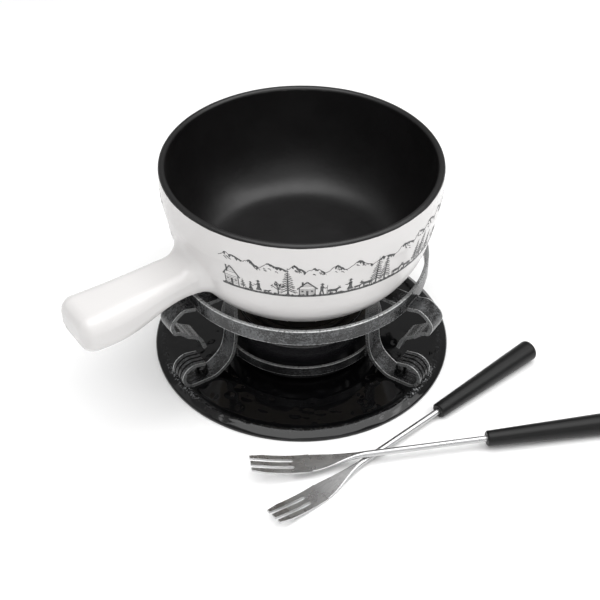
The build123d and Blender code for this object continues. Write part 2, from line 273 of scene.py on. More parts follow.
def bumpNode(tree, shader, layers):
    normal = None
    for height, distance in layers:
        node = tree.nodes.new("ShaderNodeBump")
        node.inputs["Strength"].default_value = 1.0
        node.inputs["Distance"].default_value = distance
        tree.links.new(height, node.inputs["Height"])
        if normal:
            tree.links.new(normal, node.inputs["Normal"])
        normal = node.outputs["Normal"]
    tree.links.new(normal, shader.inputs["Normal"])


def dress(material, *names):
    for name in names:
        mesh = nodes[name].data
        mesh.materials.clear()
        mesh.materials.append(material)


def addPiece(name, mesh, material, body, replaces=()):
    piece = bpy.data.objects.new(name, mesh)
    scene.collection.objects.link(piece)
    mesh.materials.clear()
    mesh.materials.append(material)
    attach(piece, body)
    if replaces:
        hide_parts(*replaces)
    return piece


def bakeNodes(name, tree, base, settings):
    # puts a node tree on a holder object, sets its named inputs, and gives the result as a plain mesh
    holder = bpy.data.objects.new(name + "Holder", base)
    scene.collection.objects.link(holder)
    modifier = holder.modifiers.new("nodes", "NODES")
    modifier.node_group = tree
    for item in tree.interface.items_tree:
        if item.in_out == "INPUT" and item.name in settings:
            modifier[item.identifier] = settings[item.name]
    graph = bpy.context.evaluated_depsgraph_get()
    mesh = bpy.data.meshes.new_from_object(holder.evaluated_get(graph), preserve_all_data_layers=True,
                                           depsgraph=graph)
    mesh.name = name
    holder.modifiers.clear()
    bpy.data.objects.remove(holder)
    return mesh


def startTree(name, inputs):
    tree = bpy.data.node_groups.new(name, "GeometryNodeTree")
    face = tree.interface
    face.new_socket("Geometry", in_out="INPUT", socket_type="NodeSocketGeometry")
    for label, kind in inputs:
        face.new_socket(label, in_out="INPUT", socket_type="NodeSocket" + kind)
    face.new_socket("Geometry", in_out="OUTPUT", socket_type="NodeSocketGeometry")
    return tree, tree.nodes.new("NodeGroupInput"), tree.nodes.new("NodeGroupOutput")


def addNode(tree, kind, links=None, **fields):
    node = tree.nodes.new(kind)
    for key, value in fields.items():
        setattr(node, key, value)
    for key, value in (links or {}).items():
        feed(tree, node.inputs[key], value)
    return node


def geoNode(tree, kind, links=None, **fields):
    return addNode(tree, "GeometryNode" + kind, links, **fields)


# pot: white glaze outside, black glaze inside and over the rim
potGlazeSet = {
    "white": (0.68, 0.666, 0.66),
    "whiteShade": (0.655, 0.642, 0.636),
    "black": (0.0022, 0.0019, 0.0021),
    "blackShade": (0.0045, 0.004, 0.0042),
    "biscuit": (0.52, 0.46, 0.38),
    "whiteRough": 0.2,
    "blackRough": 0.4,
    "rimHeight": 0.1806,            # black starts here on the outside
    "footHeight": 0.0866,           # bare clay below this
    "wallMiddle": [(0.0905, 0.0), (0.0935, 0.076), (0.1025, 0.0896), (0.122, 0.0996), (0.155, 0.1057),
                   (0.19, 0.1072)],
}


def makePotGlaze():
    values = potGlazeSet
    material, tree, shader = startMaterial("potGlaze")
    x, y, z = splitCoords(tree)
    wave = noiseNode(tree, 60, 2)
    zWavy = plus(tree, z, times(tree, minus(tree, wave, 0.5), 0.0009))
    radius = roundRadius(tree, x, y)
    low, high = values["wallMiddle"][0][0], values["wallMiddle"][-1][0]
    place = tree.nodes.new("ShaderNodeMapRange")
    link(tree, z, place.inputs["Value"])
    place.inputs["From Min"].default_value = low
    place.inputs["From Max"].default_value = high
    curve = tree.nodes.new("ShaderNodeFloatCurve")
    line = curve.mapping.curves[0]
    top = 0.11
    points = [((h - low) / (high - low), r / top) for h, r in values["wallMiddle"]]
    line.points[0].location = points[0]
    line.points[1].location = points[-1]
    for point in points[1:-1]:
        line.points.new(*point)
    for point in line.points:
        point.handle_type = "VECTOR"
    curve.mapping.update()
    link(tree, place.outputs["Result"], curve.inputs["Value"])
    middle = times(tree, curve.outputs["Value"], top)
    inside = mathNode(tree, "LESS_THAN", radius, middle)
    rim = rangeNode(tree, zWavy, values["rimHeight"] - 0.0001, values["rimHeight"] + 0.0001)
    onPot = mathNode(tree, "LESS_THAN", radius, 0.112)
    dark = larger(tree, inside, times(tree, rim, onPot))
    cloud = noiseNode(tree, 22, 4, 0.55)
    white = mixNode(tree, cloud, values["whiteShade"], values["white"])
    black = mixNode(tree, noiseNode(tree, 400, 3), values["black"], values["blackShade"])
    glaze = mixNode(tree, dark, white, black)
    foot = rangeNode(tree, z, values["footHeight"], values["footHeight"] + 0.0002, 1, 0)
    grit = noiseNode(tree, 1500, 4, 0.7)
    clay = mixNode(tree, grit, tuple(0.8 * c for c in values["biscuit"]), values["biscuit"])
    link(tree, mixNode(tree, foot, glaze, clay), shader.inputs["Base Color"])
    smear = noiseNode(tree, 35, 4, 0.6)
    glossWhite = rangeNode(tree, smear, 0.3, 0.7, values["whiteRough"] - 0.03, values["whiteRough"] + 0.04)
    glossBlack = rangeNode(tree, smear, 0.3, 0.7, values["blackRough"] - 0.03, values["blackRough"] + 0.04)
    gloss = mixValue(tree, dark, glossWhite, glossBlack)
    link(tree, mixValue(tree, foot, gloss, 0.85), shader.inputs["Roughness"])
    peel = noiseNode(tree, 140, 2)
    fine = times(tree, noiseNode(tree, 1200, 3), mixValue(tree, foot, 0.25, 1.0))
    bumpNode(tree, shader, [(peel, 0.00010), (fine, 0.00006)])
    dress(material, "pot")
    print("pot glazed")


# frieze printed round the pot: a plain alpine pasture of this maker's own drawing
friezeSet = {
    "start": -125.4,                # degrees, where it begins beside the handle
    "sweep": 325.0,
    "wall": 106.0,                  # mm, radius the drawing is measured on
    "ground": 133.6,                # mm above the table
    "groundThick": 2.0,
    "lift": 0.00005,                # m, above the glaze
    "thick": 0.00009,
    "seed": 21,
    "tufts": 90,
    "ink": (0.034, 0.035, 0.036),
    "inkLight": (0.075, 0.076, 0.077),
}


class FlatDrawing:
    # collects filled shapes on a flat sheet, in mm, x along the wall and y up from the table
    def __init__(self):
        self.mesh = bmesh.new()

    def fill(self, points):
        area = sum(a[0] * b[1] - b[0] * a[1] for a, b in zip(points, points[1:] + points[:1]))
        if abs(area) < 1e-4:
            return
        ordered = points if area > 0 else points[::-1]
        self.mesh.faces.new([self.mesh.verts.new((px, py, 0)) for px, py in ordered])

    def stroke(self, points, start, end=None):
        end = start if end is None else end
        left, right = [], []
        count = len(points)
        for i, (px, py) in enumerate(points):
            before, after = points[max(i - 1, 0)], points[min(i + 1, count - 1)]
            dx, dy = after[0] - before[0], after[1] - before[1]
            length = math.hypot(dx, dy) or 1
            half = (start + (end - start) * i / (count - 1)) / 2
            left.append((px - dy / length * half, py + dx / length * half))
            right.append((px + dy / length * half, py - dx / length * half))
        for i in range(count - 1):
            self.fill([right[i], right[i + 1], left[i + 1], left[i]])

    def blob(self, px, py, width, height, sides=9, lean=0.0):
        ring = []
        for i in range(sides):
            a = 2 * math.pi * i / sides
            u, v = math.cos(a) * width / 2, math.sin(a) * height / 2
            ring.append((px + u * math.cos(lean) - v * math.sin(lean),
                         py + u * math.sin(lean) + v * math.cos(lean)))
        self.fill(ring)

    def finish(self, name, longest=3.0):
        bmesh.ops.triangulate(self.mesh, faces=self.mesh.faces[:])
        for _ in range(4):
            long = [e for e in self.mesh.edges if e.calc_length() > longest]
            if not long:
                break
            bmesh.ops.subdivide_edges(self.mesh, edges=long, cuts=1)
            bmesh.ops.triangulate(self.mesh, faces=self.mesh.faces[:])
        out = bpy.data.meshes.new(name)
        self.mesh.to_mesh(out)
        self.mesh.free()
        return out


def drawFir(sheet, px, ground, tall, dice):
    sheet.stroke([(px, ground), (px, ground + tall)], tall * 0.055, 0.25)
    levels = int(tall / 2.5)
    for i in range(levels):
        t = (i + 1) / (levels + 1)
        y = ground + tall * (0.12 + 0.84 * t)
        reach = tall * 0.24 * (1 - t) ** 0.85 + 0.4
        for side in (-1, 1):
            span = reach * dice.uniform(0.85, 1.1)
            drop = span * dice.uniform(0.35, 0.5)
            tip = (px + side * span, y - drop)
            bend = (px + side * span * 0.55, y - drop * 0.78)
            sheet.stroke([(px, y), bend, tip], 0.95, 0.4)
            if span > 2.0:
                sheet.stroke([bend, (bend[0] + side * span * 0.25, bend[1] - drop * 0.7)], 0.4, 0.2)


def drawLeafTree(sheet, px, ground, tall, dice):
    sheet.stroke([(px, ground), (px - 0.2, ground + tall * 0.45)], tall * 0.08, tall * 0.05)
    for i in range(7):
        angle = math.radians(dice.uniform(35, 145))
        start = (px - 0.2, ground + tall * dice.uniform(0.3, 0.45))
        reach = tall * dice.uniform(0.3, 0.5)
        tip = (start[0] + math.cos(angle) * reach, start[1] + math.sin(angle) * reach)
        sheet.stroke([start, tip], 0.65, 0.25)
        for k in range(7):
            a = dice.uniform(0, 6.28)
            off = dice.uniform(0.2, tall * 0.11)
            sheet.blob(tip[0] + math.cos(a) * off, tip[1] + math.sin(a) * off, 1.1, 0.65, 6, a)


def drawChalet(sheet, px, ground, wide, tall, dice):
    left, right, eave = px - wide / 2, px + wide / 2, ground + tall * 0.55
    peak = (px, ground + tall)
    over = wide * 0.14
    sheet.stroke([(left - over, eave - tall * 0.1), peak], 1.1)
    sheet.stroke([peak, (right + over, eave - tall * 0.1)], 1.1)
    for wallX in (left, right):
        sheet.stroke([(wallX, ground), (wallX, eave)], 0.7)
    rows = 6
    for i in range(1, rows):
        y = ground + (eave - ground) * i / rows
        sheet.stroke([(left, y), (right, y)], 0.22)
    for i in range(1, 4):
        y = eave + (peak[1] - eave) * i / 4
        half = wide / 2 * (1 - i / 4)
        sheet.stroke([(px - half, y), (px + half, y)], 0.24)
    doorHigh = tall * 0.32
    sheet.fill([(px - 0.9, ground), (px + 0.9, ground), (px + 0.9, ground + doorHigh),
                (px - 0.9, ground + doorHigh)])
    for wx in (px - wide * 0.3, px + wide * 0.3):
        y = ground + tall * 0.24
        sheet.fill([(wx - 0.7, y), (wx + 0.7, y), (wx + 0.7, y + 1.4), (wx - 0.7, y + 1.4)])
    sheet.fill([(left + wide * 0.15, eave + 1.0), (left + wide * 0.27, eave + 2.2),
                (left + wide * 0.27, peak[1]), (left + wide * 0.15, peak[1])])


def drawBeast(sheet, px, ground, size, face, horns, dice):
    def at(u, v):
        return (px + face * u * size, ground + v * size)
    body = [(-0.95, 0.62), (-0.9, 1.02), (-0.45, 1.1), (0.2, 1.05), (0.62, 1.16), (0.95, 1.4), (1.3, 1.32)]
    body += [(1.42, 1.1), (1.12, 1.04), (0.92, 0.85), (0.72, 0.58), (0.1, 0.48), (-0.5, 0.5)]
    sheet.fill([at(u, v) for u, v in body])
    for legX, lean in ((-0.82, -0.1), (-0.56, 0.06), (0.42, 0.1), (0.66, -0.04)):
        sheet.stroke([at(legX, 0.62), at(legX + lean, 0.3), at(legX + lean * 0.6, 0)], 0.2 * size,
                     0.1 * size)
    sheet.stroke([at(-0.93, 0.98), at(-1.12, 0.85), at(-1.1, 0.4)], 0.08 * size, 0.05 * size)
    if horns:
        sheet.stroke([at(1.05, 1.36), at(1.0, 1.62), at(0.88, 1.74)], 0.09 * size, 0.03 * size)
        sheet.stroke([at(1.16, 1.36), at(1.22, 1.6), at(1.14, 1.76)], 0.09 * size, 0.03 * size)
    else:
        sheet.fill([at(0.98, 1.34), at(1.06, 1.36), at(0.9, 1.56)])


def drawWalker(sheet, px, ground, tall, face, skirt, dice):
    def at(u, v):
        return (px + face * u * tall, ground + v * tall)
    if skirt:
        sheet.fill([at(-0.2, 0.1), at(0.22, 0.1), at(0.07, 0.52), at(-0.05, 0.52)])
    else:
        sheet.stroke([at(-0.02, 0.48), at(-0.12, 0.02)], 0.12 * tall, 0.08 * tall)
        sheet.stroke([at(0.02, 0.48), at(0.13, 0.02)], 0.12 * tall, 0.08 * tall)
    sheet.fill([at(-0.1, 0.44), at(0.1, 0.44), at(0.12, 0.76), at(-0.09, 0.78)])
    sheet.blob(*at(0.03, 0.87), 0.15 * tall, 0.16 * tall, 8)
    sheet.fill([at(-0.13, 0.92), at(0.19, 0.92), at(0.1, 0.96), at(0.08, 1.03), at(-0.04, 1.03),
                at(-0.05, 0.96)])
    sheet.stroke([at(0.06, 0.7), at(0.2, 0.56), at(0.34, 0.6)], 0.07 * tall, 0.05 * tall)
    if not skirt:
        sheet.stroke([at(0.34, 0.02), at(0.35, 0.82)], 0.03 * tall)


def drawRidge(sheet, first, last, base, dice):
    # a jagged skyline: peaks and saddles with small notches, and dark rock hung from each peak's shaded side
    x, peaks = first, []
    while x < last:
        swell = 2.5 * math.sin(x * 0.035 + 1.0)
        peaks.append((x, base + swell + dice.uniform(-1.5, 1.0), False))
        x += dice.uniform(5, 10)
        peaks.append((x, base + swell + dice.uniform(3.0, 7.5), True))
        x += dice.uniform(6, 13)
    line = []
    for a, b in zip(peaks, peaks[1:]):
        line.append(a)
        for k in (0.2, 0.38, 0.6, 0.8):
            sway = dice.uniform(-0.8, 0.8)
            line.append((a[0] + (b[0] - a[0]) * k, a[1] + (b[1] - a[1]) * k + sway, False))
    line.append(peaks[-1])
    sheet.stroke([(p[0], p[1]) for p in line], 0.42)
    for i, (px, py, high) in enumerate(line[:-6]):
        if not high:
            continue
        for (ax, ay, _), (bx, by, _) in zip(line[i - 1:i + 5], line[i:i + 6]):
            if dice.random() < 0.2:
                continue
            low = dice.uniform(0.9, 2.8)
            notch = ((ax + bx) / 2 + dice.uniform(-0.7, 0.3), (ay + by) / 2 - low * 1.3)
            sheet.fill([(ax, ay + 0.2), (bx, by + 0.2), (bx - 0.2, by - dice.uniform(0.5, 1.6)), notch,
                        (ax - 0.4, ay - low * 0.6)])
        for k in range(5):
            sx = px + dice.uniform(-4.0, 6.0)
            sy = py - dice.uniform(2.5, 6.0) - abs(sx - px) * 0.35
            bend = (sx + dice.uniform(0.7, 1.5), sy - dice.uniform(-0.2, 0.7))
            sheet.stroke([(sx, sy), bend, (bend[0] + 0.8, bend[1] - dice.uniform(0.6, 1.6))], 0.75, 0.3)


def makeTuft():
    sheet = FlatDrawing()
    for lean, tall in ((-0.9, 0.8), (-0.45, 1.15), (0.1, 1.35), (0.5, 1.0), (0.95, 0.7)):
        sheet.stroke([(lean * 0.45, -0.3), (lean * 0.75, tall * 0.55), (lean, tall)], 0.42, 0.08)
    return sheet.finish("tuft", 9)


motifs = [                          # what to draw, how far along the wall, then its size and way
    (drawChalet, 12.5, 11.0, 20.0),
    (drawFir, 21.5, 10.0),
    (drawWalker, 27.5, 8.5, 1, True),
    (drawWalker, 34.0, 11.5, -1, True),
    (drawBeast, 40.0, 2.4, 1, False),
    (drawLeafTree, 48.5, 14.0),
    (drawFir, 55.5, 28.5),
    (drawChalet, 69.5, 11.5, 14.0),
    (drawWalker, 80.0, 11.5, 1, False),
    (drawBeast, 88.5, 4.2, 1, True),
    (drawWalker, 101.5, 12.0, -1, True),
    (drawBeast, 107.5, 2.8, 1, False),
    (drawBeast, 115.0, 4.4, -1, True),
    (drawFir, 122.5, 27.0),
    (drawFir, 130.0, 24.5),
    (drawBeast, 142.0, 4.4, 1, True),
    (drawBeast, 152.5, 4.0, -1, True),
    (drawFir, 163.0, 21.0),
    (drawFir, 170.0, 25.0),
]


def drawPasture():
    values = friezeSet
    dice = random.Random(values["seed"])
    sheet = FlatDrawing()
    length = math.radians(values["sweep"]) * values["wall"]
    floor = values["ground"] + values["groundThick"] / 2
    steps = 220
    bank = []
    for i in range(steps + 1):
        x = 4 + (length - 4) * i / steps
        bank.append((x, values["ground"] + 0.25 * noise.noise(Vector((x * 0.12, 3.1, 0)))))
    sheet.stroke(bank, values["groundThick"])
    for i in range(46):                     # low swells of grass on the bank
        x = 5 + (length - 6) * (i + dice.uniform(0.1, 0.9)) / 46
        sheet.blob(x, floor, dice.uniform(3, 7), dice.uniform(0.8, 1.5), 10)
    drawRidge(sheet, 4.0, length - 4, 160.0, dice)
    for draw, x, *shape in motifs:
        draw(sheet, x, floor, *shape, dice)
    kinds = ["fir", "leaf", "cow", "fir", "chalet", "goat", "walker", "fir", "cow"]
    x, turn = 180.0, 0
    while x < length - 14:
        kind = kinds[turn % len(kinds)]
        face = dice.choice((-1, 1))
        if kind == "fir":
            drawFir(sheet, x, floor, dice.uniform(17, 26), dice)
        elif kind == "leaf":
            drawLeafTree(sheet, x, floor, dice.uniform(11, 15), dice)
        elif kind == "chalet":
            drawChalet(sheet, x + 4, floor, 11.5, dice.uniform(12, 16), dice)
            x += 8
        elif kind == "walker":
            drawWalker(sheet, x, floor, 10.0, face, dice.random() < 0.5, dice)
        else:
            drawBeast(sheet, x, floor, 3.8 if kind == "cow" else 2.6, face, kind == "cow", dice)
        x += dice.uniform(9, 13)
        turn += 1
    return sheet.finish("pasture"), length


def friezeTree():
    # tufts scattered along the bank join the drawing, then every point is thrown at the pot's wall
    inputs = [("Wall", "Object"), ("Tuft", "Object"), ("Tufts", "Int"), ("Length", "Float"),
              ("Bank", "Float"),
              ("Start", "Float"), ("Wall Radius", "Float"), ("Lift", "Float"), ("Seed", "Int"),
              ("Ink", "Material")]
    tree, entry, leave = startTree("Frieze on a round wall", inputs)
    get = entry.outputs
    line = geoNode(tree, "MeshLine", {"Count": get["Tufts"]}, mode="OFFSET")
    line.inputs["Offset"].default_value = (0, 0, 0)
    spot = addNode(tree, "FunctionNodeRandomValue", {"Seed": get["Seed"]}, data_type="FLOAT")
    scaled = mathNode(tree, "MULTIPLY", spot.outputs[1], get["Length"])
    along = mathNode(tree, "ADD", scaled, 4.5)
    spotPlace = addNode(tree, "ShaderNodeCombineXYZ", {"X": along, "Y": get["Bank"]})
    spread = geoNode(tree, "SetPosition", {"Geometry": line.outputs[0], "Position": spotPlace.outputs[0]})
    tuft = geoNode(tree, "ObjectInfo", {"Object": get["Tuft"]})
    seedTwo = addNode(tree, "FunctionNodeIntegerMath", {0: get["Seed"], 1: 1}, operation="ADD")
    size = addNode(tree, "FunctionNodeRandomValue", {"Seed": seedTwo.outputs[0]}, data_type="FLOAT")
    size.inputs[2].default_value = 0.7
    size.inputs[3].default_value = 1.5
    plant = geoNode(tree, "InstanceOnPoints",
                    {"Points": spread.outputs[0], "Instance": tuft.outputs["Geometry"],
                     "Scale": size.outputs[1]})
    whole = geoNode(tree, "JoinGeometry")
    link(tree, get["Geometry"], whole.inputs[0])
    link(tree, plant.outputs[0], whole.inputs[0])
    solid = geoNode(tree, "RealizeInstances", {"Geometry": whole.outputs[0]})
    place = geoNode(tree, "InputPosition")
    split = addNode(tree, "ShaderNodeSeparateXYZ", {0: place.outputs[0]})
    turn = mathNode(tree, "DIVIDE", split.outputs["X"], get["Wall Radius"])
    angle = mathNode(tree, "ADD", turn, get["Start"])
    cosine = mathNode(tree, "COSINE", angle)
    sine = mathNode(tree, "SINE", angle)
    outward = addNode(tree, "ShaderNodeCombineXYZ", {"X": cosine, "Y": sine})
    far = addNode(tree, "ShaderNodeVectorMath", {0: outward.outputs[0], "Scale": 0.2}, operation="SCALE")
    high = mathNode(tree, "MULTIPLY", split.outputs["Y"], 0.001)
    rise = addNode(tree, "ShaderNodeCombineXYZ", {"Z": high})
    origin = addNode(tree, "ShaderNodeVectorMath", {0: far.outputs[0], 1: rise.outputs[0]}, operation="ADD")
    inward = addNode(tree, "ShaderNodeVectorMath", {0: outward.outputs[0], "Scale": -1.0},
                     operation="SCALE")
    wall = geoNode(tree, "ObjectInfo", {"Object": get["Wall"]})
    cast = geoNode(tree, "Raycast", {"Target Geometry": wall.outputs["Geometry"]})
    link(tree, origin.outputs[0], cast.inputs["Source Position"])
    link(tree, inward.outputs[0], cast.inputs["Ray Direction"])
    cast.inputs["Ray Length"].default_value = 0.15
    raised = addNode(tree, "ShaderNodeVectorMath", {0: outward.outputs[0], "Scale": get["Lift"]},
                     operation="SCALE")
    landed = addNode(tree, "ShaderNodeVectorMath", {0: cast.outputs["Hit Position"], 1: raised.outputs[0]},
                     operation="ADD")
    wrap = geoNode(tree, "SetPosition", {"Geometry": solid.outputs[0], "Position": landed.outputs[0]})
    plain = geoNode(tree, "RealizeInstances", {"Geometry": wrap.outputs[0]})
    coat = geoNode(tree, "SetMaterial", {"Geometry": plain.outputs[0], "Material": get["Ink"]})
    link(tree, coat.outputs[0], leave.inputs[0])
    return tree


def makeFrieze():
    values = friezeSet
    material, tree, shader = startMaterial("friezeInk")
    patch = noiseNode(tree, 320, 4, 0.65)
    tint(tree, shader, patch, (0.35, values["ink"]), (0.7, values["inkLight"]))
    roughen(tree, shader, patch, 0.24, 0.34)
    bumpNode(tree, shader, [(noiseNode(tree, 900, 2), 0.00002)])
    drawing, length = drawPasture()
    tuft = bpy.data.objects.new("tuftShape", makeTuft())
    scene.collection.objects.link(tuft)
    mesh = bakeNodes("potFrieze", friezeTree(), drawing, {
        "Wall": nodes["pot"], "Tuft": tuft, "Tufts": values["tufts"], "Length": length - 5.5,
        "Bank": values["ground"] + values["groundThick"] / 2, "Start": math.radians(values["start"]),
        "Wall Radius": values["wall"], "Lift": values["lift"], "Seed": values["seed"], "Ink": material})
    bpy.data.objects.remove(tuft)
    body = bmesh.new()
    body.from_mesh(mesh)
    bmesh.ops.remove_doubles(body, verts=body.verts[:], dist=1e-6)
    body.to_mesh(mesh)
    body.free()
    piece = addPiece("potFrieze", mesh, material, "pot")
    shell = piece.modifiers.new("print", "SOLIDIFY")
    shell.thickness = values["thick"]
    shell.offset = 1.0
    print("frieze:", len(mesh.polygons), "faces")


# base plate: hammered sheet, glossy black enamel
plateSet = {
    "radius": 124.8,
    "upperRadius": 124.6,           # mm, outer edge of the upper face
    "profile": [(0, 3.5), (109.8, 3.5), (111.6, 3.85), (115.6, 6.35), (117.5, 6.85), (119.6, 6.1),
                (123.7, 3.45), (124.6, 2.7)],
    "sheet": 1.5,
    "rings": 118,
    "sectors": 400,
    "dints": 300,
    "dintSize": (3.2, 6.6),         # mm
    "dintDepth": (0.22, 0.50),
    "seed": 5,
    "enamel": (0.0012, 0.0012, 0.0014),
    "enamelShade": (0.0026, 0.0026, 0.003),
    # colour of the painted highlight along the ridge
    "paintedRidgeHighlight": (0.42, 0.43, 0.44),
}


def profileHeight(r, profile):
    for (r0, z0), (r1, z1) in zip(profile, profile[1:]):
        if r <= r1:
            return z0 + (z1 - z0) * (r - r0) / (r1 - r0)
    return profile[-1][1]


def makePlate():
    values = plateSet
    dice = random.Random(values["seed"])
    grid = {}
    cell = 10.0
    for _ in range(values["dints"]):
        r = values["radius"] * math.sqrt(dice.uniform(0.02, 0.985))
        a = dice.uniform(0, 2 * math.pi)
        dint = (r * math.cos(a), r * math.sin(a), dice.uniform(*values["dintSize"]),
                dice.uniform(*values["dintDepth"]),
                dice.uniform(0, math.pi), dice.uniform(0.55, 1.0))
        grid.setdefault((int(dint[0] // cell), int(dint[1] // cell)), []).append(dint)

    def dinted(x, y):
        total = 0.0
        cx, cy = int(x // cell), int(y // cell)
        for i in (cx - 1, cx, cx + 1):
            for j in (cy - 1, cy, cy + 1):
                for dx, dy, size, depth, lean, oval in grid.get((i, j), ()):
                    u, v = x - dx, y - dy
                    if abs(u) > size or abs(v) > size:
                        continue
                    u, v = u * math.cos(lean) + v * math.sin(lean), (v * math.cos(lean) - u *
                                                                     math.sin(lean)) / oval
                    d = (u * u + v * v) / (size * size)
                    if d < 1:
                        total = max(total, depth * (1 - d) ** 2)
        return total

    body = bmesh.new()
    radii = [values["upperRadius"] * (k / values["rings"]) ** 0.86 for k in range(values["rings"] + 1)]
    upper = []
    centre = body.verts.new((0, 0, 3.5 * mm))
    for r in radii[1:]:
        ring = []
        base = profileHeight(r, values["profile"])
        hold = min(1.0, (values["upperRadius"] - r) / 2.5) * min(1.0, max(0.0, (r - 66) / 8) + 0.35)
        uneven = 0.10 + 0.22 * min(1.0, max(0.0, (r - 108) / 6))
        for s in range(values["sectors"]):
            a = 2 * math.pi * s / values["sectors"]
            x, y = r * math.cos(a), r * math.sin(a)
            swell = uneven * noise.noise(Vector((x * 0.07, y * 0.07, 0.3)))
            z = base - hold * (dinted(x, y) - swell)
            ring.append(body.verts.new((x * mm, y * mm, z * mm)))
        upper.append(ring)
    count = values["sectors"]

    def bridge(inner, outer):
        for s in range(count):
            t = (s + 1) % count
            body.faces.new((inner[s], outer[s], outer[t], inner[t]))

    for s in range(count):
        body.faces.new((centre, upper[0][s], upper[0][(s + 1) % count]))
    for inner, outer in zip(upper, upper[1:]):
        bridge(inner, outer)
    under = [(124.8, 2.1), (124.8, 0.5), (124.5, 0.05), (123.7, 0.0), (123.3, 0.5), (123.3, 2.1),
             (117.5, 5.0), (112.2, 2.0), (60, 2.0), (20, 2.0)]
    last = upper[-1]
    for r, z in under:
        ring = []
        for s in range(count):
            a = 2 * math.pi * s / count
            ring.append(body.verts.new((r * math.cos(a) * mm, r * math.sin(a) * mm, z * mm)))
        bridge(last, ring)
        last = ring
    closing = body.verts.new((0, 0, 2.0 * mm))
    for s in range(count):
        body.faces.new((last[s], closing, last[(s + 1) % count]))
    bmesh.ops.recalc_face_normals(body, faces=body.faces[:])
    mesh = bpy.data.meshes.new("hammeredPlate")
    body.to_mesh(mesh)
    body.free()
    mesh.polygons.foreach_set("use_smooth", [True] * len(mesh.polygons))

    material, tree, shader = startMaterial("plateEnamel")
    x, y, z = splitCoords(tree)
    cloud = noiseNode(tree, 70, 4, 0.6)
    colour = mixNode(tree, cloud, values["enamel"], values["enamelShade"])
    radius = roundRadius(tree, x, y)
    # painted highlight: bright silver along the ridge, strongest beside the three legs, broken up by noise
    onRidge = times(tree, rangeNode(tree, radius, 0.1135, 0.1165),
                    rangeNode(tree, radius, 0.1185, 0.1215, 1, 0))
    wearAndHighlight = None
    for angle in legAngles.values():
        across = splitCoords(tree, angle)
        near = times(tree, rangeNode(tree, distance(tree, across["Y"]), 0.010, 0.030, 1, 0),
                     rangeNode(tree, across["X"], 0.09, 0.11))
        wearAndHighlight = near if wearAndHighlight is None else larger(tree, wearAndHighlight, near)
    highlightBreakup = rangeNode(tree, noiseNode(tree, 500, 5, 0.75), 0.50, 0.62)
    paintedRidgeHighlight = times(tree, times(tree, onRidge, highlightBreakup), plus(tree, times(tree, wearAndHighlight, 0.75), 0.06))
    link(tree, mixNode(tree, paintedRidgeHighlight, colour, values["paintedRidgeHighlight"]), shader.inputs["Base Color"])
    link(tree, times(tree, paintedRidgeHighlight, 0.8), shader.inputs["Metallic"])
    shader.inputs["Specular IOR Level"].default_value = 0.38
    link(tree, mixValue(tree, paintedRidgeHighlight, rangeNode(tree, cloud, 0.3, 0.7, 0.05, 0.09), 0.4),
         shader.inputs["Roughness"])
    bumpNode(tree, shader, [(noiseNode(tree, 90, 2), 0.00008), (noiseNode(tree, 900, 2), 0.00001)])
    addPiece("hammeredPlate", mesh, material, "stand", ["base_plate"])
    print("plate hammered:", len(mesh.polygons), "faces")


# brushed pewter over black enamel, with painted highlights along the edges, for the bars and the rings
brushedSet = {
    "black": (0.002, 0.002, 0.0022),
    "blackShade": (0.008, 0.008, 0.0085),
    "pewter": (0.060, 0.062, 0.065),
    "pewterLight": (0.22, 0.225, 0.23),
    # colour of the painted edge highlight
    "edge": (0.62, 0.63, 0.63),
    "edgeWidth": 0.0007,
}


def brushedMetal(name, edgeGap, brushed, turn):
    # edgeGap builds the distance from the nearest edge, brushed builds where the brush has cut the enamel;
    # the bright band along the edges is a painted highlight
    values = brushedSet
    material, tree, shader = startMaterial(name)
    gap, face = edgeGap(tree), brushed(tree)
    speckle = noiseNode(tree, 620, 6, 0.78)
    broad = noiseNode(tree, 55, 3, 0.55)
    strokes = noiseNode(tree, 420, 5, 0.75, objectCoords(tree, turn, (0.22, 2.4, 1.8)), 0.3)
    hatch = noiseNode(tree, 420, 4, 0.7, objectCoords(tree, turn + 50, (0.25, 2.6, 2.6)), 0.2)
    wear = plus(tree, times(tree, speckle, 0.45), times(tree, broad, 0.35))
    wear = plus(tree, wear, times(tree, strokes, 0.2))
    cut = times(tree, rangeNode(tree, wear, 0.44, 0.60), face)
    scratch = rangeNode(tree, larger(tree, strokes, hatch), 0.60, 0.72)
    # painted edge highlight: bright metal colour in a thin band along each edge, broken up by speckle
    nearEdge = rangeNode(tree, gap, values["edgeWidth"] * 0.3, values["edgeWidth"] * 1.5, 1, 0)
    edge = times(tree, nearEdge, rangeNode(tree, speckle, 0.36, 0.50))
    edge = times(tree, edge, plus(tree, times(tree, face, 0.8), 0.2))
    enamel = mixNode(tree, broad, values["black"], values["blackShade"])
    pewter = mixNode(tree, strokes, values["pewter"], values["pewterLight"])
    colour = mixNode(tree, cut, enamel, pewter)
    scratched = times(tree, scratch, times(tree, face, 0.8))
    colour = mixNode(tree, scratched, colour, values["pewterLight"])
    link(tree, mixNode(tree, edge, colour, values["edge"]), shader.inputs["Base Color"])
    bareAndEdgeHighlight = larger(tree, larger(tree, cut, scratched), edge)
    link(tree, times(tree, bareAndEdgeHighlight, 0.8), shader.inputs["Metallic"])
    smooth = rangeNode(tree, broad, 0.3, 0.7, 0.16, 0.26)
    link(tree, mixValue(tree, bareAndEdgeHighlight, smooth, rangeNode(tree, strokes, 0.3, 0.7, 0.34, 0.5)),
         shader.inputs["Roughness"])
    bumpNode(tree, shader, [(speckle, 0.00012), (strokes, 0.00010)])
    return material


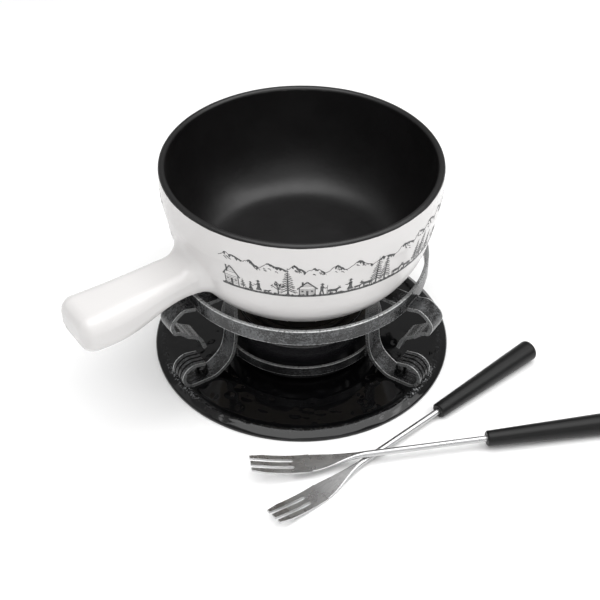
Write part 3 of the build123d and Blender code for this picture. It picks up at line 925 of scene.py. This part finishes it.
def brushBars():
    for side, angle in legAngles.items():
        def edgeGap(tree, angle=angle):
            across = splitCoords(tree, angle)
            return minus(tree, 0.0085, distance(tree, across["Y"]))

        def brushed(tree, angle=angle):
            coords = tree.nodes.new("ShaderNodeTexCoord")
            turned = tree.nodes.new("ShaderNodeMapping")
            turned.inputs["Rotation"].default_value = (0, 0, math.radians(-angle))
            link(tree, coords.outputs["Normal"], turned.inputs["Vector"])
            split = tree.nodes.new("ShaderNodeSeparateXYZ")
            link(tree, turned.outputs[0], split.inputs[0])
            outward = rangeNode(tree, plus(tree, split.outputs["X"], times(tree, split.outputs["Z"], 0.6)),
                                -0.05, 0.4)
            place = splitCoords(tree, angle)
            post = times(tree, rangeNode(tree, place["X"], 0.086, 0.092, 1, 0),
                         rangeNode(tree, place["Z"], 0.040, 0.052))
            flutes = None
            for step in (-1, 0, 1):
                off = distance(tree, minus(tree, place["Y"], step * 0.0042))
                groove = rangeNode(tree, off, 0.0006, 0.0010, 1, 0)
                flutes = groove if flutes is None else larger(tree, flutes, groove)
            curl = times(tree, rangeNode(tree, place["X"], 0.096, 0.099),
                         rangeNode(tree, place["Z"], 0.032, 0.036, 1, 0))
            hidden = larger(tree, times(tree, post, 0.85), times(tree, flutes, curl))
            return times(tree, outward, minus(tree, 1.0, hidden))

        material = brushedMetal("brushedBar" + side.capitalize(), edgeGap, brushed, angle)
        dress(material, "leg_" + side, "scroll_" + side)
    print("bars brushed")


def brushRing(node, name, wearAndHighlight):
    low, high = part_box(node)

    def edgeGap(tree):
        z = splitCoords(tree)["Z"]
        return mathNode(tree, "MINIMUM", minus(tree, z, low.z), minus(tree, high.z, z))

    def brushed(tree):
        x, y, z = splitCoords(tree)
        nx, ny, nz = objectNormal(tree)
        outward = plus(tree, times(tree, x, nx), times(tree, y, ny))
        face = rangeNode(tree, mathNode(tree, "DIVIDE", outward, high.x), -0.2, 0.3)
        joints = None
        for angle in legAngles.values():
            across = splitCoords(tree, angle)
            near = times(tree, rangeNode(tree, distance(tree, across["Y"]), 0.008, 0.013, 1, 0),
                         rangeNode(tree, across["X"], 0.0, 0.03))
            joints = near if joints is None else larger(tree, joints, near)
        return times(tree, times(tree, face, wearAndHighlight), minus(tree, 1.0, times(tree, joints, 0.8)))

    dress(brushedMetal(name, edgeGap, brushed, 20), node)


# plain finishes of the burner, the fixings and the felt
def finish(dark, light, rough, metal, scale, bump, gloss=0.5):
    return {"dark": dark, "light": light, "rough": rough, "metal": metal, "scale": scale, "bump": bump,
            "gloss": gloss}


finishSet = {
    "nutBlack": finish((0.001, 0.001, 0.001), (0.003, 0.003, 0.003), (0.10, 0.2), 0.0, 180, 0.00004),
    "boltSteel": finish((0.10, 0.10, 0.105), (0.2, 0.2, 0.2), (0.35, 0.5), 0.9, 500, 0.00005),
    "drumBlack": finish((0.006, 0.006, 0.007), (0.012, 0.012, 0.013), (0.16, 0.24), 0.0, 420, 0.00004),
    "topBlack": finish((0.001, 0.001, 0.001), (0.003, 0.003, 0.003), (0.30, 0.45), 0.0, 300, 0.00005, 0.3),
    "panSteel": finish((0.42, 0.42, 0.42), (0.6, 0.6, 0.6), (0.28, 0.42), 1.0, 260, 0.00003),
    "regulatorBlack": finish((0.001, 0.001, 0.001), (0.004, 0.004, 0.004), (0.4, 0.55), 0.0, 340, 0.00003,
                             0.2),
    "leverSteel": finish((0.10, 0.10, 0.10), (0.26, 0.26, 0.26), (0.3, 0.42), 0.9, 340, 0.00003),
    "rivetSteel": finish((0.45, 0.45, 0.45), (0.62, 0.62, 0.62), (0.22, 0.36), 1.0, 700, 0.00003),
    "knobBlack": finish((0.014, 0.014, 0.014), (0.026, 0.026, 0.026), (0.34, 0.46), 0.0, 900, 0.00004),
    "feltGrey": finish((0.02, 0.02, 0.02), (0.07, 0.07, 0.07), (0.9, 1.0), 0.0, 1600, 0.0004),
    "waddingWhite": finish((0.62, 0.6, 0.56), (0.8, 0.79, 0.76), (0.9, 1.0), 0.0, 900, 0.0008),
}


def plainFinish(name):
    values = finishSet[name]
    material, tree, shader = startMaterial(name)
    grain = noiseNode(tree, values["scale"], 5, 0.65)
    cloud = noiseNode(tree, values["scale"] * 0.12, 3, 0.5)
    both = plus(tree, times(tree, grain, 0.5), times(tree, cloud, 0.5))
    tint(tree, shader, both, (0.35, values["dark"]), (0.65, values["light"]))
    roughen(tree, shader, both, *values["rough"], 0.35, 0.65)
    shader.inputs["Metallic"].default_value = values["metal"]
    shader.inputs["Specular IOR Level"].default_value = values["gloss"]
    bumpNode(tree, shader, [(cloud, values["bump"] * 2), (grain, values["bump"])])
    return material


wearers = {
    "nutBlack": ["dome_nuts"], "boltSteel": ["base_bolts"], "drumBlack": ["burner_drum"],
    "topBlack": ["burner_top"], "panSteel": ["fuel_pan"], "regulatorBlack": ["regulator_plate"],
    "leverSteel": ["regulator_lever"], "rivetSteel": ["pivot_rivet", "lever_rivets"],
    "knobBlack": ["lever_knob"], "feltGrey": ["base_felt"], "waddingWhite": ["fuel_wadding"],
}


def finishSmallParts():
    for name, parts in wearers.items():
        dress(plainFinish(name), *parts)
    print("small parts finished")


# forks: brushed steel and satin black grips
forkSet = {
    "steelDark": (0.42, 0.42, 0.425),
    "steelLight": (0.60, 0.60, 0.60),
    "gripDark": (0.0015, 0.0015, 0.0015),
    "gripLight": (0.0035, 0.0035, 0.0035),
    "lines": {"fork_1": 40.1, "fork_2": 10.0},     # degrees, which way each fork lies
}


def finishForks():
    values = forkSet
    for fork, angle in values["lines"].items():
        label = fork.replace("_", "").capitalize()
        material, tree, shader = startMaterial("steel" + label)
        along = objectCoords(tree, angle, (0.012, 1.0, 1.0))
        brush = noiseNode(tree, 2400, 3, 0.6, along)
        cloud = noiseNode(tree, 60, 3)
        tint(tree, shader, brush, (0.3, values["steelDark"]), (0.7, values["steelLight"]))
        roughen(tree, shader, cloud, 0.24, 0.34)
        shader.inputs["Metallic"].default_value = 1.0
        bumpNode(tree, shader, [(brush, 0.000008)])
        dress(material, fork + "_shaft")
        grip, tree, shader = startMaterial("grip" + label)
        grain = noiseNode(tree, 1800, 3, 0.6)
        streak = noiseNode(tree, 700, 3, 0.6, objectCoords(tree, angle, (0.06, 1, 1)))
        tint(tree, shader, streak, (0.35, values["gripDark"]), (0.7, values["gripLight"]))
        roughen(tree, shader, grain, 0.34, 0.44)
        shader.inputs["Specular IOR Level"].default_value = 0.3
        bumpNode(tree, shader, [(grain, 0.00004), (streak, 0.00002)])
        dress(grip, fork + "_handle")
    print("forks finished")


# woven wire gauze that holds the wadding down
gauzeSet = {"radius": 45.0, "pitch": 1.6, "wire": 0.16, "height": 28.5, "steel": (0.5, 0.49, 0.47),
            "sootDark": (0.2, 0.19, 0.18)}


def gauzeTree():
    inputs = [("Radius", "Float"), ("Pitch", "Float"), ("Wire", "Float"), ("Height", "Float"),
              ("Metal", "Material")]
    tree, entry, leave = startTree("Woven gauze disc", inputs)
    get = entry.outputs
    whole = geoNode(tree, "JoinGeometry")
    span = mathNode(tree, "MULTIPLY", get["Radius"], 2.0)
    rows = mathNode(tree, "DIVIDE", span, get["Pitch"])
    rowCount = addNode(tree, "FunctionNodeFloatToInt", {0: rows})
    steps = mathNode(tree, "MULTIPLY", rows, 2.0)
    stepCount = addNode(tree, "FunctionNodeFloatToInt", {0: steps})
    profile = geoNode(tree, "CurvePrimitiveCircle", {"Resolution": 4, "Radius": get["Wire"]})
    for way in (0, 1):
        grid = geoNode(tree, "MeshGrid", {"Size X": span, "Size Y": span})
        link(tree, (stepCount if way == 0 else rowCount).outputs[0], grid.inputs["Vertices X"])
        link(tree, (rowCount if way == 0 else stepCount).outputs[0], grid.inputs["Vertices Y"])
        place = geoNode(tree, "InputPosition")
        split = addNode(tree, "ShaderNodeSeparateXYZ", {0: place.outputs[0]})
        wave = mathNode(tree, "DIVIDE", split.outputs[0], get["Pitch"])
        other = mathNode(tree, "DIVIDE", split.outputs[1], get["Pitch"])
        both = mathNode(tree, "ADD", wave, other)
        turn = mathNode(tree, "MULTIPLY", both, math.pi)
        up = mathNode(tree, "SINE" if way == 0 else "COSINE", turn)
        lift = mathNode(tree, "MULTIPLY", up, get["Wire"])
        move = addNode(tree, "ShaderNodeCombineXYZ", {"Z": lift})
        waved = geoNode(tree, "SetPosition", {"Geometry": grid.outputs["Mesh"], "Offset": move.outputs[0]})
        far = addNode(tree, "ShaderNodeVectorMath", {0: place.outputs[0]}, operation="LENGTH")
        beyond = addNode(tree, "FunctionNodeCompare", {0: far.outputs["Value"], 1: get["Radius"]},
                         operation="GREATER_THAN")
        edges = geoNode(tree, "InputMeshEdgeVertices")
        gap = addNode(tree, "ShaderNodeVectorMath", {0: edges.outputs["Position 1"],
                                                     1: edges.outputs["Position 2"]}, operation="SUBTRACT")
        parts = addNode(tree, "ShaderNodeSeparateXYZ", {0: gap.outputs[0]})
        size = mathNode(tree, "ABSOLUTE", parts.outputs[1 - way])
        cross = addNode(tree, "FunctionNodeCompare", {0: size, 1: 1e-5}, operation="GREATER_THAN")
        kept = geoNode(tree, "DeleteGeometry",
                       {"Geometry": waved.outputs[0], "Selection": beyond.outputs[0]}, domain="POINT")
        rowsOnly = geoNode(tree, "DeleteGeometry",
                           {"Geometry": kept.outputs[0], "Selection": cross.outputs[0]}, domain="EDGE")
        curves = geoNode(tree, "MeshToCurve", {"Mesh": rowsOnly.outputs[0]})
        tube = geoNode(tree, "CurveToMesh",
                       {"Curve": curves.outputs[0], "Profile Curve": profile.outputs[0], "Fill Caps": True})
        link(tree, tube.outputs[0], whole.inputs[0])
    rise = addNode(tree, "ShaderNodeCombineXYZ", {"Z": get["Height"]})
    placed = geoNode(tree, "Transform", {"Geometry": whole.outputs[0], "Translation": rise.outputs[0]})
    plain = geoNode(tree, "RealizeInstances", {"Geometry": placed.outputs[0]})
    coat = geoNode(tree, "SetMaterial", {"Geometry": plain.outputs[0], "Material": get["Metal"]})
    link(tree, coat.outputs[0], leave.inputs[0])
    return tree


def makeGauze():
    values = gauzeSet
    material, tree, shader = startMaterial("gauzeWire")
    soot = noiseNode(tree, 120, 5, 0.6)
    tint(tree, shader, soot, (0.35, values["sootDark"]), (0.65, values["steel"]))
    roughen(tree, shader, soot, 0.55, 0.32)
    shader.inputs["Metallic"].default_value = 1.0
    bumpNode(tree, shader, [(noiseNode(tree, 3000, 2), 0.00002)])
    base = bpy.data.meshes.new("gauzeBase")
    mesh = bakeNodes("wireGauze", gauzeTree(), base, {
        "Radius": values["radius"] * mm, "Pitch": values["pitch"] * mm, "Wire": values["wire"] * mm,
        "Height": values["height"] * mm, "Metal": material})
    addPiece("wireGauze", mesh, material, "burner", ["wadding_gauze"])
    print("gauze woven:", len(mesh.polygons), "faces")


# weld beads where the bars meet the rings
weldSet = {
    "beads": 9,
    "bead": 1.15,                   # mm, half the width of a bead
    "ringSeams": [(0.1000, 0.0864), (0.1036, 0.0872)],     # m, radius and height under the pot ring
    "halfWidth": 0.0072,            # m, half of a seam's length along the ring
    "footRadius": 0.0689,           # m, where a bar meets the burner ring
    "footSide": 0.0084,             # m, from the bar's middle to its side
    "seed": 3,
    "black": (0.012, 0.012, 0.0125),
    "blackLight": (0.03, 0.03, 0.031),
}


def weldTree():
    # overlapping drops along every edge of the seam lines, each a little different
    inputs = [("Bead", "Float"), ("Seed", "Int"), ("Enamel", "Material")]
    tree, entry, leave = startTree("Weld beads along seams", inputs)
    get = entry.outputs
    curves = geoNode(tree, "MeshToCurve", {"Mesh": get["Geometry"]})
    step = mathNode(tree, "MULTIPLY", get["Bead"], 1.05)
    dots = geoNode(tree, "CurveToPoints", {"Curve": curves.outputs[0], "Length": step}, mode="LENGTH")
    drop = geoNode(tree, "MeshIcoSphere", {"Radius": get["Bead"], "Subdivisions": 2})
    size = addNode(tree, "FunctionNodeRandomValue", {"Seed": get["Seed"]}, data_type="FLOAT_VECTOR")
    size.inputs[0].default_value = (0.75, 0.8, 0.6)
    size.inputs[1].default_value = (1.1, 1.15, 0.95)
    beads = geoNode(tree, "InstanceOnPoints",
                    {"Points": dots.outputs[0], "Instance": drop.outputs[0],
                     "Rotation": dots.outputs["Rotation"], "Scale": size.outputs[0]})
    plain = geoNode(tree, "RealizeInstances", {"Geometry": beads.outputs[0]})
    smooth = geoNode(tree, "SetShadeSmooth", {0: plain.outputs[0]})
    coat = geoNode(tree, "SetMaterial", {"Geometry": smooth.outputs[0], "Material": get["Enamel"]})
    link(tree, coat.outputs[0], leave.inputs[0])
    return tree


def makeWelds():
    values = weldSet
    material, tree, shader = startMaterial("weldEnamel")
    lump = noiseNode(tree, 700, 4, 0.6)
    tint(tree, shader, lump, (0.35, values["black"]), (0.7, values["blackLight"]))
    roughen(tree, shader, lump, 0.2, 0.34)
    bumpNode(tree, shader, [(lump, 0.0001)])
    seams = []
    fireLow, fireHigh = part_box("burner_ring")
    for angle in legAngles.values():
        a = math.radians(angle)
        out, side = Vector((math.cos(a), math.sin(a), 0)), Vector((-math.sin(a), math.cos(a), 0))
        for radius, height in values["ringSeams"]:
            lift = Vector((0, 0, height))
            seams.append([out * radius + side * values["halfWidth"] * t + lift
                          for t in (-1, -0.33, 0.33, 1)])
    for angle in legAngles.values():
        a = math.radians(angle)
        for side in (-1, 1):
            turn = a + side * values["footSide"] / values["footRadius"]
            foot = Vector((math.cos(turn), math.sin(turn), 0)) * values["footRadius"]
            heights = [fireLow.z + t * (fireHigh.z - fireLow.z) for t in (0.1, 0.5, 0.9)]
            seams.append([foot + Vector((0, 0, z)) for z in heights])
    base = bpy.data.meshes.new("seams")
    points, edges = [], []
    for seam in seams:
        first = len(points)
        points += [tuple(p) for p in seam]
        edges += [(first + i, first + i + 1) for i in range(len(seam) - 1)]
    base.from_pydata(points, edges, [])
    mesh = bakeNodes("weldBeads", weldTree(), base,
                     {"Bead": values["bead"] * mm, "Seed": values["seed"], "Enamel": material})
    addPiece("weldBeads", mesh, material, "stand")
    print("welds laid:", len(mesh.polygons), "faces")


makeStudio()
makePotGlaze()
makeFrieze()
makePlate()
brushBars()
brushRing("pot_ring", "brushedPotRing", 1.0)
brushRing("burner_ring", "brushedBurnerRing", 0.22)
finishSmallParts()
finishForks()
makeGauze()
makeWelds()
